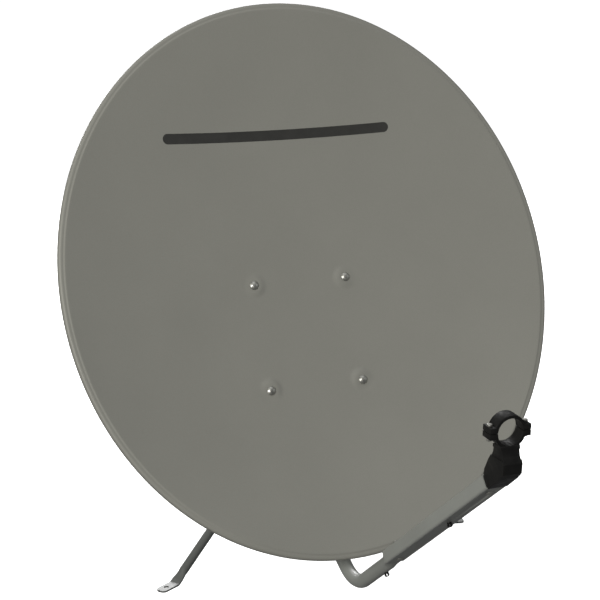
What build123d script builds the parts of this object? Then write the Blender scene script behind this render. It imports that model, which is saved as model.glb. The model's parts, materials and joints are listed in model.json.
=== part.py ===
"""Offset satellite dish on a short mast with two stays and a bent feed arm.

Millimetres, +Z up. The origin is the centre of the base flange's underside, on the mast's axis.
The dish faces -Y, so +X is on the right of a person looking at its front.
"""

import os
from math import acos, atan2, cos, degrees, hypot, radians, sin, sqrt, tan

from build123d import *

# ---------------------------------------------------------------- driving dimensions

# reflector: a paraboloid cut by a round beam, so its rim is flat and oval
RIM_WIDTH = 900.0
RIM_HEIGHT = 980.0
RIM_FLANGE = 11.0
RIM_LIP = 12.0
SHEET = 1.2
FOCAL = 566.0
RIM_TILT = 22.25
RIM_CENTRE_Y = -160.0
RIM_CENTRE_Z = 530.0

# carriage bolts that hold the reflector on its bracket
BOLT_SPACING_X = 174.6
BOLT_SPACING_V = 187.2
BOLT_CENTRE_V = -92.7
PAD_R = 11.0
PAD_RAISE = 1.3
PAD_DEPTH = 4.2

# back bracket
PLATE_DEPTH = 84.0
PLATE_T = 3.0
PLATE_MARGIN = 20.0
BOSS_R = 15.0
BOSS_TAPER = 10.0
MIDDLE_WINDOW = (137.0, 58.0)
SIDE_WINDOW = (117.0, 34.0)
SIDE_WINDOW_INSET = 13.0
CHEEK_T = 3.0
CHEEK_INNER = 48.3
PIVOT_BOSS_R = 24.0
LOCK_BOSS_R = 16.0

# elevation joint
PIVOT_Y = -52.0
PIVOT_Z = 440.0
PIVOT_R = 5.0
LOCK_REACH = 65.0
ELEVATION_DOWN = 3.0
ELEVATION_UP = 25.0
RUNNING_GAP = 0.1
SIDE_GAP = 0.3

# mast and its flange
MAST_R = 21.2
MAST_WALL = 2.6
MAST_TOP = 478.0
FLANGE_R = 75.0
FLANGE_T = 8.0
SOCKET_R = 27.0
SOCKET_H = 60.0
ANCHOR_CIRCLE_R = 55.0
ANCHOR_HOLE_R = 4.5
SET_SCREW_Z = 44.0

# azimuth bracket on the mast
HEAD_HALF_WIDTH = 48.0
HEAD_LOW = 340.0
HEAD_HIGH = 468.0
WEB_FACE_Y = -29.0
HEAD_T = 3.0
HEAD_PIVOT_R = 22.0
HEAD_LOCK_R = 18.0
CLAMP_CENTRES_Z = (368.0, 440.0)
CLAMP_H = 30.0
CLAMP_T = 4.5
CLAMP_BOLT_X = 35.0
CLAMP_SPLIT = 2.0

# stays
STAND_TURN = 8.5
STAY_SPREAD = 67.0
STAY_R = 8.0
STAY_WALL = 1.5
DRAIN_R = 2.0
STAY_TOP_REACH = 44.0
STAY_TOP_Z = 172.0
STAY_BEND_REACH = 310.0
STAY_TIP_REACH = 350.0
STAY_TOP_TAPER = 34.0
STAY_TOP_LOFT = 18.0
STAY_FOOT_TAPER = 30.0
STAY_FOOT_LOFT = 20.0
STAY_TAB_T = 3.2
STAY_TOP_WIDTH = 20.0
STAY_FOOT_WIDTH = 20.0
FOOT_HOLE_R = 4.5
FOOT_HOLE_BACK = 18.0
COLLAR_H = 28.0
COLLAR_T = 4.0
COLLAR_GAP = 2.0
COLLAR_EAR_REACH = 35.2
COLLAR_EAR_END = 45.5

# feed arm: a bent round tube carries a straight box tube
ARM_R = 12.0
ARM_WALL = 2.0
ARM_BEND_R = 75.0
ARM_JOINT = (-478.6, 131.5)
ARM_TIP = (-799.2, 366.4)
ARM_LOW_REACH = 182.0
ARM_BACK_CORNER = (-115.0, 134.0)
ARM_TOP = (-68.0, 325.0)
TUBE_DROP = 4.0
TUBE_END = 22.0
BOX_WIDTH = 36.0
BOX_HEIGHT = 22.0
BOX_WALL = 1.5
BOX_CORNER_R = 4.0
INSERT_LENGTH = 45.0
INSERT_GAP = 0.2
JOINT_BOLT_ALONG = 20.0
HOLDER_BOLT_BACK = 25.0
BOX_CLIP_ALONG = 224.0
TUBE_CLIP_ALONG = -44.0
CLIP_HOLE_R = 2.6

# yoke welded on the bent tube
YOKE_T = 3.0
YOKE_REACH = 62.0
YOKE_LENGTH = 64.0
YOKE_BOLT_REACHES = (14.0, 46.0)
YOKE_BOSS_R = 15.0

# holder for the receiver head
RING_CENTRE_Y = -829.0
RING_CENTRE_Z = 450.0
RING_TILT = 3.8
RING_BORE_R = 20.0
RING_OUTER_R = 24.5
RING_LENGTH = 22.0
RING_SPLIT = 0.6
EAR_SCREW_X = 27.8
EAR_HALF_WIDTH = 32.0
EAR_T = 8.5
HOLDER_HALF_WIDTH = 15.0
HOLDER_HALF_HEIGHT = 12.0
HOLDER_OUTLINE = (
    (-836.0, 379.5),
    (-847.0, 390.0),
    (-848.5, 405.0),
    (-843.0, 415.0),
    (-840.0, 430.0),
    (-818.0, 430.0),
    (-815.0, 415.0),
    (-805.0, 402.0),
    (-795.0, 385.0),
)
NECK_CUT = 1.5
NECK_CENTRE_Z = 417.0
NECK_HEIGHT = 14.0
TONGUE_LENGTH = 55.0

# fastener sizes: thread radius, width across flats, head height, nut height
M5 = (2.5, 8.0, 3.5, 4.0)
M6 = (3.0, 10.0, 4.0, 5.0)
M8 = (4.0, 13.0, 5.3, 6.5)
M10 = (5.0, 16.0, 6.4, 8.4)
WASHER_T = 1.6
WASHER_RATIO = 0.7
HOLE_GAP = 0.3

# ---------------------------------------------------------------- derived geometry

OFFSET_ANGLE = acos(RIM_WIDTH / RIM_HEIGHT)
TILT = radians(RIM_TILT)
BEAM_ANGLE = TILT + OFFSET_ANGLE
APERTURE_R = RIM_WIDTH / 2 - RIM_FLANGE
BEAM_OFFSET = 2 * FOCAL * tan(OFFSET_ANGLE)
CENTRE_HEIGHT = (BEAM_OFFSET ** 2 + APERTURE_R ** 2) / (4 * FOCAL)

rim = Plane(
    origin=(0, RIM_CENTRE_Y, RIM_CENTRE_Z),
    x_dir=(1, 0, 0),
    z_dir=(0, -cos(TILT), sin(TILT)),
)
beam_dir = Vector(0, -cos(BEAM_ANGLE), sin(BEAM_ANGLE))
across_dir = Vector(0, sin(BEAM_ANGLE), cos(BEAM_ANGLE))
vertex = rim.origin - across_dir * BEAM_OFFSET - beam_dir * CENTRE_HEIGHT
beam = Plane(origin=vertex, x_dir=(1, 0, 0), z_dir=beam_dir)


def bowl_depth(u, v):
    """Height of the reflecting face over the rim plane at (u, v); negative inside the bowl."""
    along = BEAM_OFFSET + v * cos(OFFSET_ANGLE)
    rise = CENTRE_HEIGHT + v * sin(OFFSET_ANGLE)
    a = sin(OFFSET_ANGLE) ** 2
    b = -(2 * along * sin(OFFSET_ANGLE) + 4 * FOCAL * cos(OFFSET_ANGLE))
    c = u ** 2 + along ** 2 - 4 * FOCAL * rise
    return (-b - sqrt(b ** 2 - 4 * a * c)) / (2 * a)


bolt_places = [
    (side * BOLT_SPACING_X / 2, BOLT_CENTRE_V + row * BOLT_SPACING_V / 2)
    for side in (-1, 1)
    for row in (-1, 1)
]


def side_plane(x):
    """Plane at a constant x whose own axes are the model's Y and Z."""
    return Plane(origin=(x, 0, 0), x_dir=(0, 1, 0), z_dir=(1, 0, 0))


def arm_plane(along, across=0.0):
    """Plane square to the box tube, `along` from its lower end and `across` up from its axis."""
    length = hypot(ARM_TIP[0] - ARM_JOINT[0], ARM_TIP[1] - ARM_JOINT[1])
    forward = Vector(0, ARM_TIP[0] - ARM_JOINT[0], ARM_TIP[1] - ARM_JOINT[1]) / length
    upward = Vector(0, forward.Z, -forward.Y)
    start = Vector(0, ARM_JOINT[0], ARM_JOINT[1])
    return Plane(origin=start + forward * along + upward * across, x_dir=(1, 0, 0), z_dir=forward)


def arm_up_plane(along, across):
    """Plane whose normal points up from the box tube, for things that cross it."""
    square = arm_plane(along, across)
    return Plane(origin=square.origin, x_dir=(1, 0, 0), z_dir=square.y_dir)


def stay_plane(azimuth, offset=0.0):
    """Upright plane through the mast's axis: its own x is the reach and its own y the height."""
    turn = radians(azimuth)
    square = Vector(-cos(turn), -sin(turn), 0)
    return Plane(origin=square * offset, x_dir=(sin(turn), -cos(turn), 0), z_dir=square)


def hexagon(place, width, height):
    """Adds a hexagonal prism that stands on a plane."""
    with BuildSketch(place) as outline:
        RegularPolygon(radius=width / 2, side_count=6, major_radius=False)
    extrude(outline.sketch, amount=height)


def disc(place, radius, height, mode=Mode.ADD):
    """Adds, or cuts, a round bar that stands on a plane."""
    with BuildSketch(place) as outline:
        Circle(radius)
    extrude(outline.sketch, amount=height, mode=mode)


def hex_bolt(place, size, grip):
    """Adds a hex bolt: the head stands on the plane and the shank runs the other way."""
    thread_r, width, head_height, nut_height = size
    disc(place, width * WASHER_RATIO, WASHER_T)
    hexagon(place.offset(WASHER_T), width, head_height)
    disc(place, thread_r, -(grip + WASHER_T + nut_height + thread_r / 2))


def round_bolt(place, size, head_r, head_height, grip):
    """Adds a bolt with a low domed head that stands on a plane; the shank runs the other way."""
    thread_r, _, _, nut_height = size
    crown = (head_r ** 2 + head_height ** 2) / (2 * head_height)
    shoulder = head_height - crown + sqrt(crown ** 2 - head_r ** 2 / 4)
    with BuildSketch(Plane(origin=place.origin, x_dir=place.x_dir, z_dir=place.y_dir * -1)) as section:
        with BuildLine():
            dome = ThreePointArc((0, head_height), (head_r / 2, shoulder), (head_r, 0))
            Polyline(dome @ 1, (0, 0), dome @ 0)
        make_face()
    revolve(section.sketch, axis=Axis(place.origin, place.z_dir))
    disc(place, thread_r, -(grip + WASHER_T + nut_height + thread_r / 2))


def hex_nut(place, size):
    """Adds a washer and a hex nut that stand on a plane, with a hole for the bolt."""
    thread_r, width, _, nut_height = size
    disc(place, width * WASHER_RATIO, WASHER_T)
    hexagon(place.offset(WASHER_T), width, nut_height)
    disc(place, thread_r, WASHER_T + nut_height, Mode.SUBTRACT)


# ---------------------------------------------------------------- reflector and its bolts

with BuildPart() as reflector:
    near_r = BEAM_OFFSET - APERTURE_R - 20
    far_r = BEAM_OFFSET + APERTURE_R + 20
    profile_plane = Plane(origin=vertex, x_dir=across_dir * -1, z_dir=(-1, 0, 0))
    with BuildSketch(profile_plane):
        with BuildLine():
            near_z = near_r ** 2 / (4 * FOCAL)
            mid_z = near_r * far_r / (4 * FOCAL)
            far_z = far_r ** 2 / (4 * FOCAL)
            mid_r = (near_r + far_r) / 2
            face = Bezier((near_r, near_z), (mid_r, mid_z), (far_r, far_z))
            back = Bezier((near_r, near_z - SHEET), (mid_r, mid_z - SHEET), (far_r, far_z - SHEET))
            Line(face @ 0, back @ 0)
            Line(face @ 1, back @ 1)
        make_face()
    revolve(axis=Axis(vertex, beam_dir))
    with BuildSketch(beam):
        with Locations((0, BEAM_OFFSET)):
            Circle(APERTURE_R)
    extrude(amount=2 * FOCAL, mode=Mode.INTERSECT)
    with BuildSketch(rim):
        Ellipse(RIM_WIDTH / 2, RIM_HEIGHT / 2)
        Ellipse(APERTURE_R - 1, APERTURE_R / cos(OFFSET_ANGLE) - 1, mode=Mode.SUBTRACT)
    extrude(amount=-SHEET)
    with BuildSketch(rim):
        Ellipse(RIM_WIDTH / 2, RIM_HEIGHT / 2)
        Ellipse(RIM_WIDTH / 2 - SHEET, RIM_HEIGHT / 2 - SHEET, mode=Mode.SUBTRACT)
    extrude(amount=-RIM_LIP)
    for u, v in bolt_places:
        with BuildSketch(rim.offset(bowl_depth(u, v) + PAD_RAISE)):
            with Locations((u, v)):
                Circle(PAD_R)
        extrude(amount=-PAD_DEPTH)
        with BuildSketch(rim.offset(bowl_depth(u, v) + PAD_RAISE)):
            with Locations((u, v)):
                Circle(M8[0] + HOLE_GAP)
        extrude(amount=-PAD_DEPTH, mode=Mode.SUBTRACT)

with BuildPart() as reflector_bolts:
    for u, v in bolt_places:
        seat = bowl_depth(u, v) + PAD_RAISE
        head = Plane(origin=rim.from_local_coords((u, v, seat)), x_dir=(1, 0, 0), z_dir=rim.z_dir)
        round_bolt(head, M8, 8.4, 4.2, PLATE_DEPTH + seat + PLATE_T)

with BuildPart() as reflector_nuts:
    for u, v in bolt_places:
        behind = rim.from_local_coords((u, v, -PLATE_DEPTH - PLATE_T))
        hex_nut(Plane(origin=behind, x_dir=(1, 0, 0), z_dir=rim.z_dir * -1), M8)

# ---------------------------------------------------------------- bracket behind the reflector

plate_back = -PLATE_DEPTH - PLATE_T / 2
cheek_reach = BOLT_SPACING_V / 2 + 12
plate_top = rim.from_local_coords((0, BOLT_CENTRE_V + cheek_reach, plate_back))
plate_low = rim.from_local_coords((0, BOLT_CENTRE_V - cheek_reach, plate_back))
arm_run = Vector(0, ARM_TOP[0] - ARM_BACK_CORNER[0], ARM_TOP[1] - ARM_BACK_CORNER[1]).normalized()
yoke_places = [Vector(0, ARM_TOP[0], ARM_TOP[1]) - arm_run * reach for reach in YOKE_BOLT_REACHES]

with BuildPart() as back_bracket:
    with BuildSketch(rim.offset(-PLATE_DEPTH)):
        with Locations((0, BOLT_CENTRE_V)):
            RectangleRounded(
                BOLT_SPACING_X + 2 * PLATE_MARGIN,
                BOLT_SPACING_V + 2 * PLATE_MARGIN,
                PLATE_MARGIN,
            )
            SlotOverall(*MIDDLE_WINDOW, rotation=90, mode=Mode.SUBTRACT)
        side_window_u = BOLT_SPACING_X / 2 - SIDE_WINDOW_INSET
        with Locations((-side_window_u, BOLT_CENTRE_V), (side_window_u, BOLT_CENTRE_V)):
            SlotOverall(*SIDE_WINDOW, rotation=90, mode=Mode.SUBTRACT)
    extrude(amount=-PLATE_T)
    for u, v in bolt_places:
        with BuildSketch(rim.offset(-PLATE_DEPTH)):
            with Locations((u, v)):
                Circle(BOSS_R)
        extrude(amount=PLATE_DEPTH + bowl_depth(u, v) + PAD_RAISE - PAD_DEPTH, taper=BOSS_TAPER)
        with BuildSketch(rim.offset(-PLATE_DEPTH - PLATE_T)):
            with Locations((u, v)):
                Circle(M8[0] + HOLE_GAP)
        extrude(amount=2 * PLATE_T + 20, mode=Mode.SUBTRACT)
    for inner in (CHEEK_INNER, -CHEEK_INNER - CHEEK_T):
        with BuildSketch(side_plane(inner)) as cheek:
            with Locations((PIVOT_Y, PIVOT_Z)):
                Circle(PIVOT_BOSS_R)
            with Locations((plate_top.Y, plate_top.Z), (plate_low.Y, plate_low.Z)):
                Circle(PLATE_T / 2)
            with Locations(*[(spot.Y, spot.Z) for spot in yoke_places]):
                Circle(YOKE_BOSS_R)
            for reach_angle in (-90 - ELEVATION_DOWN, -90 + ELEVATION_UP):
                with Locations(
                    (
                        PIVOT_Y + LOCK_REACH * cos(radians(reach_angle)),
                        PIVOT_Z + LOCK_REACH * sin(radians(reach_angle)),
                    )
                ):
                    Circle(LOCK_BOSS_R)
            make_hull()
            with Locations((PIVOT_Y, PIVOT_Z)):
                Circle(PIVOT_R + RUNNING_GAP, mode=Mode.SUBTRACT)
            with Locations(*[(spot.Y, spot.Z) for spot in yoke_places]):
                Circle(M8[0] + HOLE_GAP, mode=Mode.SUBTRACT)
            with BuildLine(mode=Mode.PRIVATE):
                travel = CenterArc(
                    (PIVOT_Y, PIVOT_Z),
                    LOCK_REACH,
                    -90 - ELEVATION_DOWN - 1,
                    ELEVATION_DOWN + ELEVATION_UP + 2,
                )
            SlotArc(travel, height=2 * M8[0] + 1, mode=Mode.SUBTRACT)
        extrude(amount=CHEEK_T)

# ---------------------------------------------------------------- stand: flange, mast and cap

with BuildPart() as base_flange:
    with BuildSketch(Plane.XY):
        Circle(FLANGE_R)
        with PolarLocations(ANCHOR_CIRCLE_R, 4, start_angle=45):
            Circle(ANCHOR_HOLE_R, mode=Mode.SUBTRACT)
    extrude(amount=FLANGE_T)
    chamfer(base_flange.edges().group_by(Axis.Z)[-1].sort_by(SortBy.RADIUS)[-1], length=1.5)
    with BuildSketch(Plane.XY.offset(FLANGE_T)):
        Circle(SOCKET_R)
        Circle(MAST_R + RUNNING_GAP, mode=Mode.SUBTRACT)
    extrude(amount=SOCKET_H)
    with Locations(Plane(origin=(0, 0, SET_SCREW_Z), x_dir=(1, 0, 0), z_dir=(0, 1, 0))):
        Cylinder(M8[0], 2 * SOCKET_R + 10, mode=Mode.SUBTRACT)

with BuildPart() as base_set_screws:
    for facing in (-1, 1):
        tip = Plane(origin=(0, facing * MAST_R, SET_SCREW_Z), x_dir=(1, 0, 0), z_dir=(0, facing, 0))
        disc(tip, M8[0], SOCKET_R - MAST_R + 5)
        hexagon(tip.offset(SOCKET_R - MAST_R + 5), M8[1], M8[2])

with BuildPart() as mast:
    with BuildSketch(Plane.XY.offset(FLANGE_T)):
        Circle(MAST_R)
        Circle(MAST_R - MAST_WALL, mode=Mode.SUBTRACT)
    extrude(amount=MAST_TOP - FLANGE_T)

with BuildPart() as mast_cap:
    disc(Plane.XY.offset(MAST_TOP - 22), MAST_R - MAST_WALL, 22)
    disc(Plane.XY.offset(MAST_TOP), MAST_R + 1.6, 4)
    disc(Plane.XY.offset(MAST_TOP - 22), MAST_R - MAST_WALL - 2.5, 22, Mode.SUBTRACT)
    fillet(mast_cap.edges().group_by(Axis.Z)[-1], radius=3)

# ---------------------------------------------------------------- stays and their collar

stay_azimuths = {"left": STAND_TURN - STAY_SPREAD, "right": STAND_TURN + STAY_SPREAD}
stay_sides = {"left": -1, "right": 1}
stand_plane = Plane.XY.rotated((0, 0, STAND_TURN))
across = Vector(1, 0, 0).rotate(Axis.Z, STAND_TURN)
collar_ears = [
    Vector(0, facing * COLLAR_EAR_REACH, STAY_TOP_Z).rotate(Axis.Z, STAND_TURN) for facing in (-1, 1)
]
ear_face = COLLAR_T + COLLAR_GAP / 2
collar_halves = {}
stays = {}

for name, azimuth in stay_azimuths.items():
    half = stay_sides[name]
    with BuildPart() as collar:
        with BuildSketch(stand_plane.offset(STAY_TOP_Z - COLLAR_H / 2)):
            Circle(MAST_R + COLLAR_T)
            Rectangle(2 * COLLAR_T + COLLAR_GAP, 2 * COLLAR_EAR_END)
            Circle(MAST_R, mode=Mode.SUBTRACT)
            with Locations((half * (COLLAR_GAP / 2 - 60), 0)):
                Rectangle(120, 120, mode=Mode.SUBTRACT)
        extrude(amount=COLLAR_H)
        with BuildSketch(stay_plane(azimuth, -COLLAR_T / 2)):
            with Locations((STAY_TOP_REACH, STAY_TOP_Z)):
                Circle(STAY_TOP_WIDTH / 2)
            with Locations((MAST_R + COLLAR_T / 2, STAY_TOP_Z)):
                Rectangle(1, COLLAR_H)
            make_hull()
        extrude(amount=COLLAR_T)
        with BuildSketch(stay_plane(azimuth, -COLLAR_T)):
            with Locations((STAY_TOP_REACH, STAY_TOP_Z)):
                Circle(M8[0] + HOLE_GAP)
        extrude(amount=2 * COLLAR_T, mode=Mode.SUBTRACT)
        for ear in collar_ears:
            hole = Plane(origin=ear - across * 15, x_dir=(0, 0, 1), z_dir=across)
            disc(hole, M8[0] + HOLE_GAP, 30, Mode.SUBTRACT)
    collar_halves[name] = collar

    slope = atan2(STAY_TOP_Z - STAY_TAB_T / 2, STAY_BEND_REACH - STAY_TOP_REACH)
    along_x = cos(slope)
    along_z = -sin(slope)
    tab_offset = COLLAR_T / 2 + STAY_TAB_T / 2
    tube_start = (STAY_TOP_REACH + STAY_TOP_TAPER * along_x, STAY_TOP_Z + STAY_TOP_TAPER * along_z)
    tube_end = (STAY_BEND_REACH - STAY_FOOT_TAPER * along_x, STAY_TAB_T / 2 - STAY_FOOT_TAPER * along_z)
    tab_reach = STAY_TOP_TAPER - STAY_TOP_LOFT - 0.5
    foot_reach = STAY_FOOT_TAPER - STAY_FOOT_LOFT
    upright = stay_plane(azimuth, tab_offset)
    run = upright.from_local_coords((*tube_end, 0)) - upright.from_local_coords((*tube_start, 0))
    tube_plane = Plane(
        origin=upright.from_local_coords((*tube_start, 0)),
        x_dir=upright.z_dir,
        z_dir=run.normalized(),
    )
    with BuildPart() as stay:
        with BuildSketch(tube_plane):
            Circle(STAY_R)
            Circle(STAY_R - STAY_WALL, mode=Mode.SUBTRACT)
        extrude(amount=run.length)
        drain = Plane(origin=tube_plane.offset(run.length - 12).origin, z_dir=tube_plane.y_dir)
        disc(drain, DRAIN_R, 2 * STAY_R, Mode.SUBTRACT)
        with BuildSketch(tube_plane.offset(-STAY_TOP_LOFT)):
            Rectangle(STAY_TAB_T, STAY_TOP_WIDTH)
        with BuildSketch(tube_plane):
            Circle(STAY_R)
        loft()
        with BuildSketch(tube_plane.offset(run.length)):
            Circle(STAY_R)
        with BuildSketch(tube_plane.offset(run.length + STAY_FOOT_LOFT)):
            Rectangle(STAY_FOOT_WIDTH, STAY_TAB_T)
        loft()
        with BuildSketch(upright.offset(-STAY_TAB_T / 2)):
            with Locations((STAY_TOP_REACH, STAY_TOP_Z)):
                Circle(STAY_TOP_WIDTH / 2)
            tab_end = (STAY_TOP_REACH + tab_reach * along_x, STAY_TOP_Z + tab_reach * along_z)
            with Locations(Location(tab_end, degrees(-slope))):
                Rectangle(1, STAY_TOP_WIDTH)
            make_hull()
            with Locations((STAY_TOP_REACH, STAY_TOP_Z)):
                Circle(M8[0] + HOLE_GAP, mode=Mode.SUBTRACT)
        extrude(amount=STAY_TAB_T)
        with BuildSketch(upright.offset(-STAY_FOOT_WIDTH / 2)):
            with BuildLine():
                FilletPolyline(
                    (STAY_BEND_REACH - foot_reach * along_x, STAY_TAB_T / 2 - foot_reach * along_z),
                    (STAY_BEND_REACH, STAY_TAB_T / 2),
                    (STAY_TIP_REACH, STAY_TAB_T / 2),
                    radius=8,
                )
            trace(line_width=STAY_TAB_T)
        extrude(amount=STAY_FOOT_WIDTH)
        fillet(stay.edges().filter_by(Axis.Z).sort_by(Axis(upright.origin, upright.x_dir))[-2:], radius=8)
        hole_centre = upright.from_local_coords((STAY_TIP_REACH - FOOT_HOLE_BACK, 0, 0))
        disc(Plane(origin=hole_centre, z_dir=(0, 0, 1)), FOOT_HOLE_R, 2 * STAY_TAB_T, Mode.SUBTRACT)
    stays[name] = stay

with BuildPart() as collar_bolts:
    for ear in collar_ears:
        seat = Plane(origin=ear - across * ear_face, x_dir=(0, 0, 1), z_dir=across * -1)
        hex_bolt(seat, M8, 2 * ear_face)

with BuildPart() as collar_nuts:
    for ear in collar_ears:
        hex_nut(Plane(origin=ear + across * ear_face, x_dir=(0, 0, 1), z_dir=across), M8)

with BuildPart() as stay_bolts:
    for azimuth in stay_azimuths.values():
        upright = stay_plane(azimuth, COLLAR_T / 2 + STAY_TAB_T)
        head = Plane(
            origin=upright.from_local_coords((STAY_TOP_REACH, STAY_TOP_Z, 0)),
            x_dir=(0, 0, 1),
            z_dir=upright.z_dir,
        )
        hex_bolt(head, M8, COLLAR_T + STAY_TAB_T)

with BuildPart() as stay_nuts:
    for azimuth in stay_azimuths.values():
        upright = stay_plane(azimuth, -COLLAR_T / 2)
        far_side = Plane(
            origin=upright.from_local_coords((STAY_TOP_REACH, STAY_TOP_Z, 0)),
            x_dir=(0, 0, 1),
            z_dir=upright.z_dir * -1,
        )
        hex_nut(far_side, M8)

# ---------------------------------------------------------------- azimuth bracket on the mast

with BuildPart() as azimuth_bracket:
    with BuildSketch(Plane.XY.offset(HEAD_LOW)):
        with Locations((0, WEB_FACE_Y - HEAD_T / 2)):
            Rectangle(2 * HEAD_HALF_WIDTH, HEAD_T)
    extrude(amount=HEAD_HIGH - HEAD_LOW)
    for inner in (HEAD_HALF_WIDTH - HEAD_T, -HEAD_HALF_WIDTH):
        with BuildSketch(side_plane(inner)):
            with Locations((PIVOT_Y, PIVOT_Z)):
                Circle(HEAD_PIVOT_R)
            with Locations((PIVOT_Y, PIVOT_Z - LOCK_REACH)):
                Circle(HEAD_LOCK_R)
            with Locations((WEB_FACE_Y - 2, (HEAD_LOW + HEAD_HIGH) / 2)):
                Rectangle(2, HEAD_HIGH - HEAD_LOW)
            make_hull()
            with Locations((PIVOT_Y, PIVOT_Z)):
                Circle(PIVOT_R, mode=Mode.SUBTRACT)
            with Locations((PIVOT_Y, PIVOT_Z - LOCK_REACH)):
                Circle(M8[0], mode=Mode.SUBTRACT)
        extrude(amount=HEAD_T)
    for clamp_z in CLAMP_CENTRES_Z:
        for side in (-1, 1):
            hole = Plane(origin=(side * CLAMP_BOLT_X, WEB_FACE_Y - 2 * HEAD_T, clamp_z), z_dir=(0, 1, 0))
            disc(hole, M8[0] + HOLE_GAP, 4 * HEAD_T, Mode.SUBTRACT)

saddles = {}
clamps = {}
for name, clamp_z in zip(("lower", "upper"), CLAMP_CENTRES_Z):
    with BuildPart() as saddle:
        with BuildSketch(Plane.XY.offset(clamp_z - CLAMP_H / 2)):
            with Locations((0, (WEB_FACE_Y - CLAMP_SPLIT) / 2)):
                RectangleRounded(2 * HEAD_HALF_WIDTH - 2, -WEB_FACE_Y - CLAMP_SPLIT, 4)
            Circle(MAST_R + RUNNING_GAP, mode=Mode.SUBTRACT)
        extrude(amount=CLAMP_H)
        for side in (-1, 1):
            hole = Plane(origin=(side * CLAMP_BOLT_X, WEB_FACE_Y - 5, clamp_z), z_dir=(0, 1, 0))
            disc(hole, M8[0] + HOLE_GAP, 40, Mode.SUBTRACT)
    saddles[name] = saddle

    with BuildPart() as clamp:
        with BuildSketch(Plane.XY.offset(clamp_z - CLAMP_H / 2)):
            Circle(MAST_R + CLAMP_T)
            with Locations((0, CLAMP_SPLIT + CLAMP_T / 2)):
                Rectangle(2 * HEAD_HALF_WIDTH - 2, CLAMP_T)
            Circle(MAST_R + RUNNING_GAP, mode=Mode.SUBTRACT)
            with Locations((0, CLAMP_SPLIT - 60)):
                Rectangle(120, 120, mode=Mode.SUBTRACT)
        extrude(amount=CLAMP_H)
        for side in (-1, 1):
            hole = Plane(origin=(side * CLAMP_BOLT_X, 0, clamp_z), z_dir=(0, 1, 0))
            disc(hole, M8[0] + HOLE_GAP, 20, Mode.SUBTRACT)
    clamps[name] = clamp

with BuildPart() as clamp_bolts:
    for clamp_z in CLAMP_CENTRES_Z:
        for side in (-1, 1):
            seat = Plane(origin=(side * CLAMP_BOLT_X, CLAMP_SPLIT + CLAMP_T, clamp_z), z_dir=(0, 1, 0))
            hex_bolt(seat, M8, CLAMP_SPLIT + CLAMP_T - WEB_FACE_Y + HEAD_T)

with BuildPart() as clamp_nuts:
    for clamp_z in CLAMP_CENTRES_Z:
        for side in (-1, 1):
            hex_nut(Plane(origin=(side * CLAMP_BOLT_X, WEB_FACE_Y - HEAD_T, clamp_z), z_dir=(0, -1, 0)), M8)

# ---------------------------------------------------------------- elevation bolts

cheek_outer = CHEEK_INNER + CHEEK_T + SIDE_GAP

with BuildPart() as elevation_pivot_bolt:
    head = Plane(origin=(-cheek_outer, PIVOT_Y, PIVOT_Z), x_dir=(0, 1, 0), z_dir=(-1, 0, 0))
    hex_bolt(head, M10, 2 * cheek_outer)

with BuildPart() as elevation_pivot_nut:
    far_side = Plane(origin=(cheek_outer, PIVOT_Y, PIVOT_Z), x_dir=(0, 1, 0), z_dir=(1, 0, 0))
    hex_nut(far_side, M10)

with BuildPart() as elevation_lock_bolts:
    for side in (-1, 1):
        inside = Plane(
            origin=(side * (HEAD_HALF_WIDTH - HEAD_T), PIVOT_Y, PIVOT_Z - LOCK_REACH),
            x_dir=(0, 1, 0),
            z_dir=(-side, 0, 0),
        )
        round_bolt(inside, M8, 9.0, 4.0, cheek_outer - HEAD_HALF_WIDTH + HEAD_T)

with BuildPart() as elevation_lock_nuts:
    for side in (-1, 1):
        outside = Plane(
            origin=(side * cheek_outer, PIVOT_Y, PIVOT_Z - LOCK_REACH),
            x_dir=(0, 1, 0),
            z_dir=(side, 0, 0),
        )
        hex_nut(outside, M8)

# ---------------------------------------------------------------- feed arm

box_length = hypot(ARM_TIP[0] - ARM_JOINT[0], ARM_TIP[1] - ARM_JOINT[1])
insert_width = BOX_WIDTH - 2 * BOX_WALL - 2 * INSERT_GAP
insert_height = BOX_HEIGHT - 2 * BOX_WALL - 2 * INSERT_GAP
insert_corner_r = BOX_CORNER_R - BOX_WALL - INSERT_GAP / 2
holder_bolt_along = box_length - HOLDER_BOLT_BACK

with BuildPart() as arm_lower_tube:
    start = arm_plane(-TUBE_END, -TUBE_DROP)
    with BuildLine() as centre_line:
        FilletPolyline(
            start.origin,
            arm_plane(-ARM_LOW_REACH, -TUBE_DROP).origin,
            (0, ARM_BACK_CORNER[0], ARM_BACK_CORNER[1]),
            (0, ARM_TOP[0], ARM_TOP[1]),
            radius=ARM_BEND_R,
        )
    with BuildSketch(Plane(origin=start.origin, x_dir=(1, 0, 0), z_dir=start.z_dir * -1)):
        Circle(ARM_R)
        Circle(ARM_R - ARM_WALL, mode=Mode.SUBTRACT)
    sweep()
    clip_hole = arm_up_plane(TUBE_CLIP_ALONG, -TUBE_DROP - ARM_R - 1)
    disc(clip_hole, CLIP_HOLE_R, ARM_R, Mode.SUBTRACT)
    with BuildSketch(start):
        Circle(ARM_R)
    with BuildSketch(arm_plane(-2)):
        RectangleRounded(insert_width, insert_height, insert_corner_r)
    loft()
    with BuildSketch(arm_plane(-2)):
        RectangleRounded(insert_width, insert_height, insert_corner_r)
        Rectangle(insert_width - 2 * BOX_WALL, insert_height - 2 * BOX_WALL, mode=Mode.SUBTRACT)
    extrude(amount=INSERT_LENGTH)
    bolt_hole = arm_up_plane(JOINT_BOLT_ALONG, -BOX_HEIGHT)
    disc(bolt_hole, M6[0] + HOLE_GAP, 2 * BOX_HEIGHT, Mode.SUBTRACT)

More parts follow.
